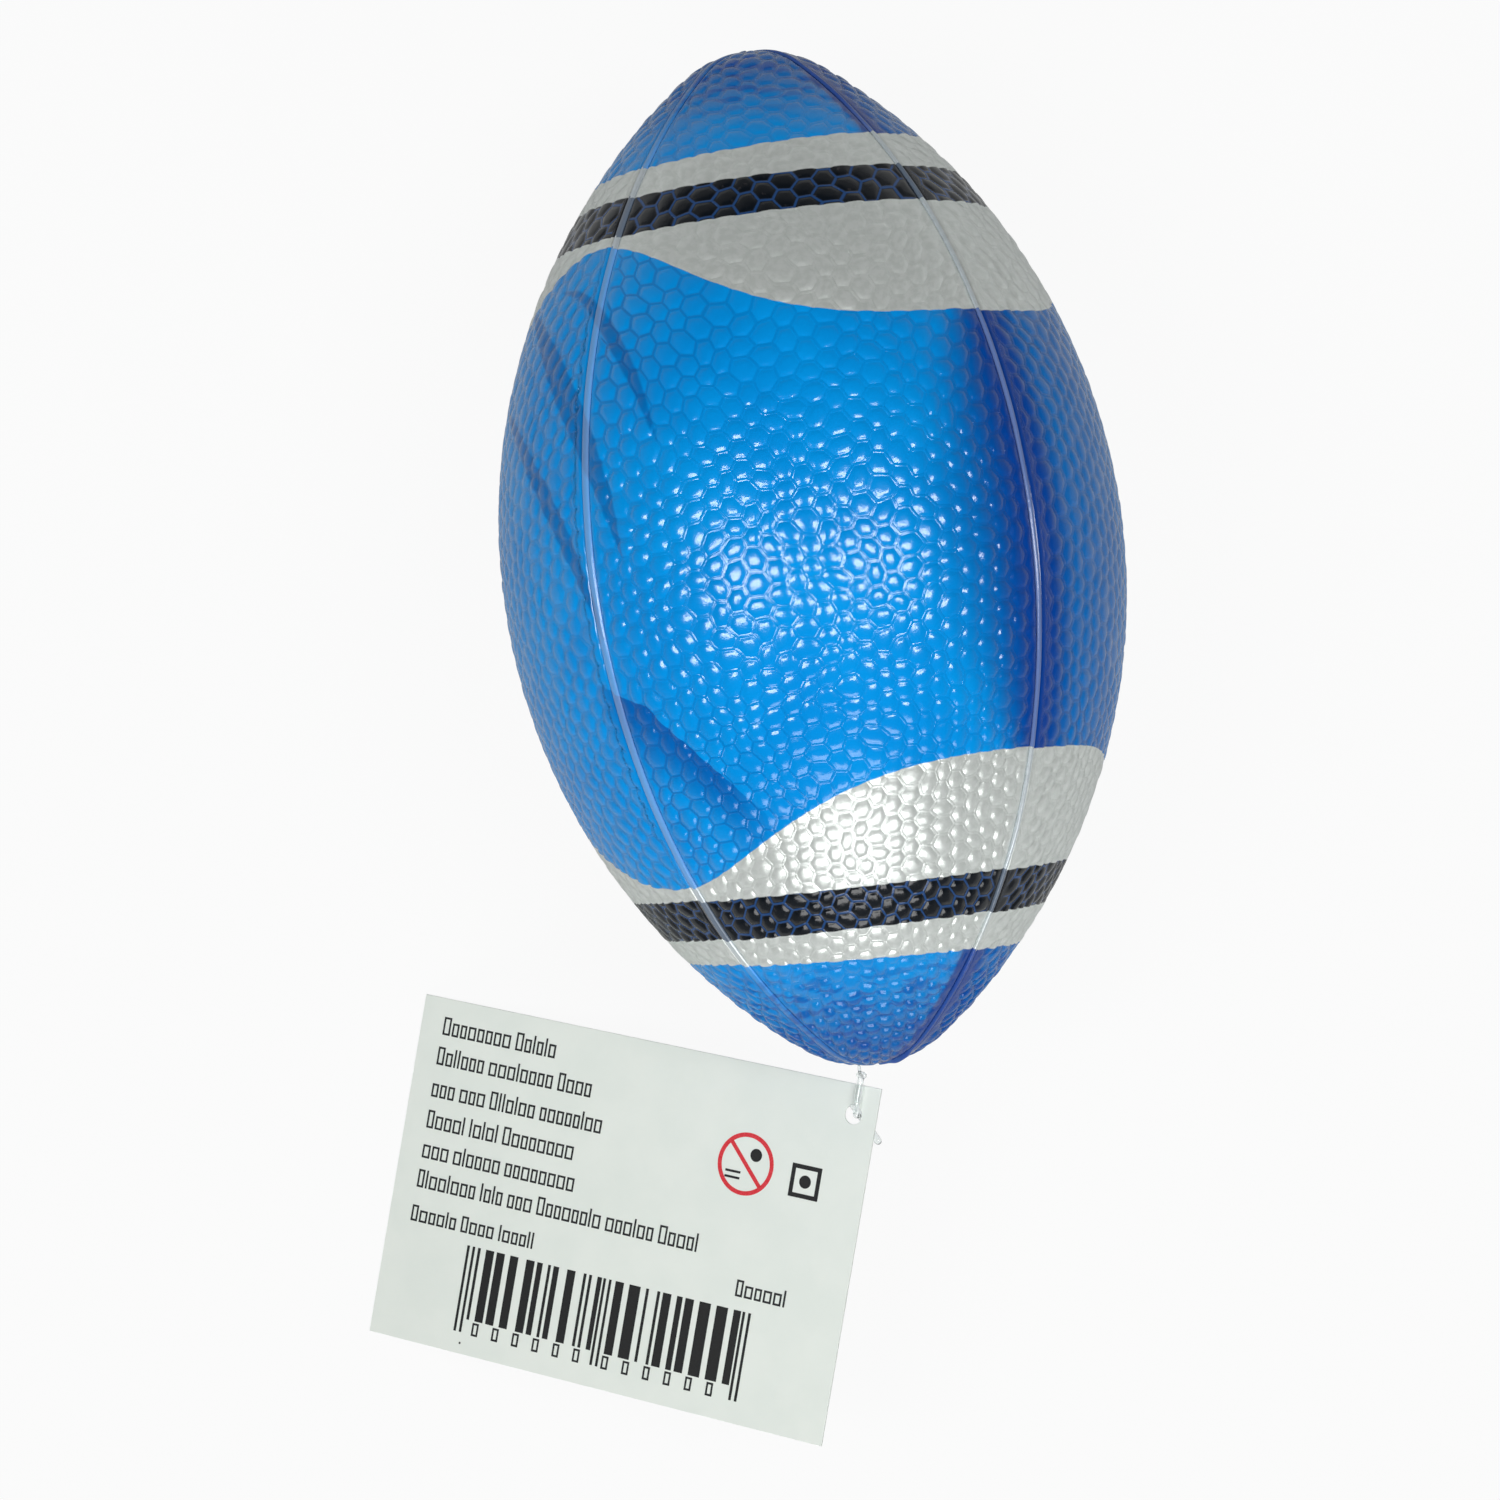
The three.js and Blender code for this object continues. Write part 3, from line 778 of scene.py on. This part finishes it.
to_right, to_bottom, hole_at = card_frame()
CARD_PLACE = Matrix((to_right, -to_bottom, front)).transposed().to_4x4()
CARD_PLACE.translation = hole_at


def lay_on_card(made):
    """Moves a piece modelled flat at the hole into the card's pose, and lets it ride with the card."""
    made.data.transform(CARD_PLACE)
    made.data.update()
    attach(made, "card")


def tag_card():
    centre = Vector((HOLE_FROM_RIGHT - CARD_SIZE.x / 2, HOLE_FROM_TOP - CARD_SIZE.y / 2, 0)) * MM
    bpy.ops.mesh.primitive_cube_add(size=1, location=centre, scale=CARD_SIZE * MM)
    made = bpy.context.object
    made.name = "tag_card_board"
    bpy.ops.object.transform_apply(location=True, rotation=True, scale=True)
    bpy.ops.object.mode_set(mode="EDIT")
    bm = bmesh.from_edit_mesh(made.data)
    for edge in bm.edges:
        run = edge.verts[0].co - edge.verts[1].co
        edge.select_set(abs(run.z) > 0.1 * MM)
    bmesh.update_edit_mesh(made.data)
    bpy.ops.mesh.bevel(offset=CARD_CORNER * MM, segments=5)
    bpy.ops.object.mode_set(mode="OBJECT")
    bpy.ops.mesh.primitive_cylinder_add(vertices=64, radius=HOLE_DIAMETER / 2 * MM, depth=4 * MM)
    punch = bpy.context.object
    cut = made.modifiers.new("punched_hole", "BOOLEAN")
    cut.object, cut.operation, cut.solver = punch, "DIFFERENCE", "EXACT"
    edge = made.modifiers.new("pressed_edge", "BEVEL")
    edge.width, edge.segments, edge.limit_method = 0.06 * MM, 2, "ANGLE"
    bpy.context.view_layer.objects.active = made
    for modifier in ("punched_hole", "pressed_edge"):
        bpy.ops.object.modifier_apply(modifier=modifier)
    bpy.data.objects.remove(punch)
    made.data.materials.clear()
    made.data.materials.append(BOARD)
    lay_on_card(made)
    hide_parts("tag_card")


tag_card()


class Ink:
    """Flat printed shapes, measured in millimetres from the card's top left corner."""

    # How far the ink reaches under the card's surface and above it
    SUNK, PROUD = 0.02, 0.025

    def __init__(self):
        self.points, self.faces = [], []

    def slab(self, outline):
        """A closed slab over an outline that goes clockwise as the card is read."""
        count, start = len(outline), len(self.points)
        for height in (CARD_SIZE.z / 2 - self.SUNK, CARD_SIZE.z / 2 + self.PROUD):
            for x, y in outline:
                self.points.append((x - CARD_SIZE.x + HOLE_FROM_RIGHT, HOLE_FROM_TOP - y, height))
        low = list(range(start, start + count))
        high = list(range(start + count, start + 2 * count))
        self.faces.append(high[::-1])
        self.faces.append(low)
        for i in range(count):
            j = (i + 1) % count
            self.faces.append([low[j], low[i], high[i], high[j]])

    def bar(self, x, y, width, height):
        """An upright filled box."""
        self.slab([(x, y), (x + width, y), (x + width, y + height), (x, y + height)])

    def box(self, x, y, width, height, stroke):
        """An upright open box."""
        self.bar(x, y, width, stroke)
        self.bar(x, y + height - stroke, width, stroke)
        self.bar(x, y + stroke, stroke, height - 2 * stroke)
        self.bar(x + width - stroke, y + stroke, stroke, height - 2 * stroke)

    def disc(self, x, y, radius, sides):
        self.slab(circle(x, y, radius, sides))

    def hoop(self, x, y, inside, outside, sides):
        inner, outer = circle(x, y, inside, sides), circle(x, y, outside, sides)
        for i in range(sides):
            j = (i + 1) % sides
            self.slab([outer[i], outer[j], inner[j], inner[i]])

    def make(self, name, ink):
        """Prints the shapes on the card as one piece."""
        piece = mesh_object(name, self.points, self.faces)
        piece.data.materials.append(ink)
        piece.data.polygons.foreach_set("use_smooth", [False] * len(piece.data.polygons))
        bm = bmesh.new()
        bm.from_mesh(piece.data)
        bmesh.ops.recalc_face_normals(bm, faces=bm.faces)
        bm.to_mesh(piece.data)
        bm.free()
        lay_on_card(piece)


def circle(x, y, radius, sides):
    turns = np.linspace(0, 2 * math.pi, sides, endpoint=False)
    return [(x + radius * math.cos(t), y + radius * math.sin(t)) for t in turns]


# Lines of print that stand for text: (left, middle of the line, length, height of a small letter)
TEXT_LINES = [
    (4.6, 5.2, 23, 2.35),
    (4.4, 10.5, 35, 2.35),
    (4.4, 16.2, 35, 2.35),
    (4.5, 21.7, 26, 2.35),
    (4.6, 27.0, 23, 2.35),
    (4.6, 32.2, 58, 2.35),
    (4.5, 38.3, 26, 2.1),
    (69.6, 38.0, 15, 2.1),
]
STROKE, LETTER_GAP, STROKE_GAP, WORD_GAP = 0.36, 0.36, 0.4, 0.75
random = np.random.default_rng(7)


TALL = 1.35


def stand_in_word(ink, x, foot, letters, small):
    """A word of stand-in marks: open boxes and a few upright strokes. They spell nothing."""
    for place in range(letters):
        kind = random.random()
        if kind < 0.2:
            ink.bar(x, foot - TALL * small, STROKE, TALL * small)
            x += STROKE + STROKE_GAP
            continue
        wide = random.uniform(1.25, 1.6)
        tall = TALL * small if place == 0 and kind > 0.6 else small
        ink.box(x, foot - tall, wide, tall, STROKE)
        x += wide + LETTER_GAP
    return x + WORD_GAP


text = Ink()
for left_edge, middle, length, small in TEXT_LINES:
    x = left_edge
    while x < left_edge + length - 5:
        x = stand_in_word(text, x, middle + small / 2, int(random.integers(3, 9)), small)
# Two groups of six small boxes below the bars, and a speck
for k in range(12):
    text.box(20.4 + 4.1 * k + (1.6 if k > 5 else 0), 54.2, 1.3, 2.3, STROKE)
text.bar(18.3, 58.0, 0.35, 0.35)
text.make("tag_text_lines", TEXT_INK)

# Bars of random widths, which encode nothing, between pairs of longer thin guard bars
MODULE, BARS_TOP, BAR_HEIGHT, GUARD_HEIGHT = 0.55, 41.3, 12.6, 15.0
barcode = Ink()
for guard in (16.8, 44.4, 71.6):
    for k in (0, 2):
        barcode.bar(guard + k * MODULE, BARS_TOP, 0.9 * MODULE, GUARD_HEIGHT)
for start, stop in ((19.0, 43.8), (46.8, 71.0)):
    x = start
    while x < stop:
        wide = MODULE * int(random.choice([1, 1, 2, 2, 3, 4]))
        barcode.bar(x, BARS_TOP, min(wide, stop - x + 0.3), BAR_HEIGHT)
        x += wide + MODULE * int(random.choice([1, 1, 2, 2, 3]))
barcode.make("tag_barcode", BLACK_INK)

# Neutral signs in place of the tag's own: a barred ring over a dot and two dashes, and a boxed dot
RING_AT, RING_INSIDE, RING_OUTSIDE = Vector((67.5, 17.0)), 4.55, 5.3
barred_ring = Ink()
barred_ring.hoop(*RING_AT, RING_INSIDE, RING_OUTSIDE, 64)
slash = Vector((math.cos(0.8), math.sin(0.8))) * 4.6
side = Vector((-slash.y, slash.x)).normalized() * 0.36
barred_ring.slab([tuple(RING_AT + p) for p in (-slash + side, -slash - side, slash - side, slash + side)])
barred_ring.make("tag_barred_ring", RED_INK)
signs = Ink()
signs.disc(69.2, 15.2, 1.1, 32)
signs.bar(63.9, 18.4, 2.9, 0.4)
signs.bar(63.9, 19.4, 2.9, 0.4)
signs.box(76.2, 15.0, 5.6, 5.6, 0.75)
signs.disc(79.0, 17.8, 1.1, 24)
signs.make("tag_neutral_signs", BLACK_INK)


# Pin


def tube(name, points, across, half_width, half_height):
    """A smooth rod along some points, with an oval section that is widest along across, and rounded ends."""
    path = curve_through(points, 8) if len(points) > 2 else np.linspace(points[0], points[1], 12)
    runs = np.gradient(path, axis=0)
    runs /= np.linalg.norm(runs, axis=1)[:, None]
    wide = np.asarray(across, float) - (runs @ np.asarray(across, float))[:, None] * runs
    wide /= np.linalg.norm(wide, axis=1)[:, None]
    tall = np.cross(runs, wide)
    sides = 20
    spots = [path[0] - runs[0] * half_height]
    rings = []
    # Each section: (which point of the path, how full it is, how far past the point)
    sections = [(0, 0.35, -0.93), (0, 0.72, -0.69), *((i, 1, 0) for i in range(len(path)))]
    sections += [(-1, 0.72, 0.69), (-1, 0.35, 0.93)]
    for i, fullness, push in sections:
        base = path[i] + runs[i] * push * half_height
        rings.append(list(range(len(spots), len(spots) + sides)))
        for k in range(sides):
            t = 2 * math.pi * k / sides
            rim = wide[i] * half_width * math.cos(t) + tall[i] * half_height * math.sin(t)
            spots.append(base + fullness * rim)
    spots.append(path[-1] + runs[-1] * half_height)
    faces = [[0, rings[0][(k + 1) % sides], rings[0][k]] for k in range(sides)]
    for one, two in zip(rings[:-1], rings[1:]):
        faces += [[one[k], one[(k + 1) % sides], two[(k + 1) % sides], two[k]] for k in range(sides)]
    faces += [[len(spots) - 1, rings[-1][k], rings[-1][(k + 1) % sides]] for k in range(sides)]
    made = mesh_object(name, spots, faces)
    made.data.materials.append(CLEAR)
    return made


def on_card(right_by, down_by, up_by):
    """A place measured in millimetres from the middle of the card's hole."""
    return np.array(hole_at + (to_right * right_by + to_bottom * down_by + front * up_by) * MM) / MM


def joined(name, pieces):
    """Several rods as one moulding."""
    bpy.ops.object.select_all(action="DESELECT")
    for piece in pieces:
        piece.select_set(True)
    bpy.context.view_layer.objects.active = pieces[0]
    bpy.ops.object.join()
    made = bpy.context.object
    made.name = name
    weld = made.modifiers.new("one_moulding", "REMESH")
    weld.mode, weld.voxel_size = "VOXEL", 0.09 * MM
    weld.use_smooth_shade = True
    bpy.ops.object.modifier_apply(modifier="one_moulding")
    relax = made.modifiers.new("moulded_corners", "SMOOTH")
    relax.factor, relax.iterations = 0.5, 4
    bpy.ops.object.modifier_apply(modifier="moulded_corners")
    made.select_set(False)
    return made


# The neck comes down from the knob and through the hole to the cross bar behind the card
NECK_X, KNOB_DOWN, KNOB_UP, BAR_UP = 0.7, -6.8, 1.1, -1.15
NECK_BENDS = [(KNOB_DOWN, KNOB_UP), (-3.4, 1.05), (-1.2, 1.0), (0, 0.5), (0, 0), (0, BAR_UP)]
NECK_HALF_WIDTH, NECK_HALF_HEIGHT, KNOB_RADIUS, BAR_RADIUS = 0.58, 0.42, 0.6, 0.64
BAR_HALF_LENGTH, BAR_SKEW = 5.3, math.radians(42)
neck_line = [on_card(NECK_X, down, up) for down, up in NECK_BENDS]
neck = tube("neck", neck_line, to_right, NECK_HALF_WIDTH, NECK_HALF_HEIGHT)
knob_ends = [on_card(NECK_X + k * 0.35, KNOB_DOWN, KNOB_UP) for k in (-1, 1)]
knob = tube("knob", knob_ends, to_bottom, KNOB_RADIUS, KNOB_RADIUS)
bar_right, bar_down = BAR_HALF_LENGTH * math.cos(BAR_SKEW), BAR_HALF_LENGTH * math.sin(BAR_SKEW)
bar_ends = [on_card(NECK_X + k * bar_right, k * bar_down, BAR_UP) for k in (-1, 1)]
bar = tube("bar", bar_ends, front, BAR_RADIUS, BAR_RADIUS)
pin_neck = joined("pin_neck_moulding", [neck, knob, bar])
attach(pin_neck, "neck")
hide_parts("pin_neck")

# The thread leaves the tip, drops over it, and hangs straight down into the knob
THREAD_RADIUS = 0.27
_, filament_top = (np.array(v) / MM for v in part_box("pin_filament"))
start = np.array([EXIT_X, filament_top[1] + 0.05, 0.0])
end = on_card(NECK_X, KNOB_DOWN, KNOB_UP) + [0, 0, 0.75]
half_way = (start + end) / 2
drop = [half_way[0], start[1] - 1.7, half_way[2]]
thread_line = [start, start + [0, -1.0, -0.15], drop, end + [0, 0, 2.0], end]
filament = tube("pin_filament_thread", thread_line, (1, 0, 0), THREAD_RADIUS, THREAD_RADIUS)
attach(filament, "filament")
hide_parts("pin_filament")

stub_ends = [(EXIT_X, anchor_low[1] + 0.2, 0), (EXIT_X, ANCHOR_Y, 0)]
stub = tube("stub", stub_ends, (1, 0, 0), STUB_RADIUS, STUB_RADIUS)
bar_reach = anchor_high[0] - EXIT_X - ANCHOR_RADIUS
cross_ends = [(EXIT_X + k * bar_reach, ANCHOR_Y, 0) for k in (-1, 1)]
cross = tube("cross", cross_ends, (0, 0, 1), ANCHOR_RADIUS, ANCHOR_RADIUS)
anchor = joined("pin_anchor_moulding", [stub, cross])
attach(anchor, "ball")
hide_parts("pin_anchor")


# Studio

# The table's white as seen, its level in reflections, and the same white for what lies beyond it
TABLE_WHITE, TABLE_MIRRORED, BEYOND_WHITE = 0.93, 0.26, 0.955


def seen_directly(tree):
    """The kind of ray, and whether it comes from the camera, also through clear plastic."""
    rays = add(tree, "ShaderNodeLightPath")
    either = {0: rays.outputs["Is Camera Ray"], 1: rays.outputs["Is Transmission Ray"]}
    return rays, add(tree, MATH, either, operation="MAXIMUM")


bpy.ops.object.select_all(action="DESELECT")
bpy.ops.mesh.primitive_plane_add(size=6, location=(0, 0, cad_box[0].z))
floor = bpy.context.object
floor.name = "floor"
made, tree, shader = material("white_table")
rays, seen = seen_directly(tree)
mirrored = add(tree, MATH, {0: rays.outputs["Is Glossy Ray"], 1: TABLE_MIRRORED}, operation="MULTIPLY")
share = add(tree, MATH, {0: seen, 1: TABLE_WHITE, 2: mirrored}, operation="MULTIPLY_ADD")
wire(tree, shader, {"Base Color": hex_colour("#B4B6B5"), "Roughness": 0.9})
glow = add(tree, "ShaderNodeEmission", {"Color": (1, 1, 1, 1), "Strength": 1.0})
both = add(tree, "ShaderNodeMixShader", {0: share, 1: shader, 2: glow})
wire(tree, tree.nodes["Material Output"], {"Surface": both})
floor.data.materials.append(made)

# The room: a dim even light, strongest near the table and nearly dark overhead
world = bpy.data.worlds.new("studio")
bpy.context.scene.world = world
world.use_nodes = True
tree = world.node_tree
_, seen = seen_directly(tree)
sky = add(tree, SPLIT, {0: add(tree, "ShaderNodeTexCoord").outputs["Generated"]}).outputs[2]
level = add(tree, RANGE, {VALUE: sky, LOW: 0.02, HIGH: 0.6, TO_LOW: 0.24, TO_HIGH: 0.03}, **SMOOTHSTEP)
strength = add(tree, MIX, {0: seen, 2: level, 3: BEYOND_WHITE}, data_type="FLOAT")
wire(tree, tree.nodes["Background"], {"Strength": strength, "Color": (1, 1, 1, 1)})

# Lamps, aimed at the ball: (name, direction, distance, size, power)
LAMPS = [
    ("left_softbox", (-0.45, -0.03, 0.93), 0.95, (0.19, 0.42), 4.0),
    ("right_softbox", (0.35, -0.03, 0.93), 0.95, (0.19, 0.42), 4.0),
    ("low_softbox", (0.02, -0.84, 0.55), 1.0, (0.8, 0.32), 3.9),
]
for name, direction, distance, size, power in LAMPS:
    lamp = bpy.data.lights.new(name, "AREA")
    lamp.shape, lamp.size, lamp.size_y, lamp.energy = "RECTANGLE", *size, power
    holder = bpy.data.objects.new(name, lamp)
    bpy.context.scene.collection.objects.link(holder)
    holder.location = Vector(direction).normalized() * distance
    holder.rotation_euler = (-holder.location).to_track_quat("-Z", "Y").to_euler()

# The camera looks straight down, turned a little so that the ball leans to the left
CAMERA_AT, CAMERA_TURN = (-0.0141, -0.0298, 0.6723), -math.radians(7.31)
lens = bpy.data.cameras.new("camera")
lens.sensor_width, lens.lens = 36, 98.66
lens.clip_start, lens.clip_end = 0.05, 20
camera = bpy.data.objects.new("camera", lens)
camera.location = CAMERA_AT
camera.rotation_euler = (0, 0, CAMERA_TURN)
bpy.context.scene.collection.objects.link(camera)
bpy.context.scene.camera = camera
bpy.context.scene.view_settings.view_transform = "Standard"
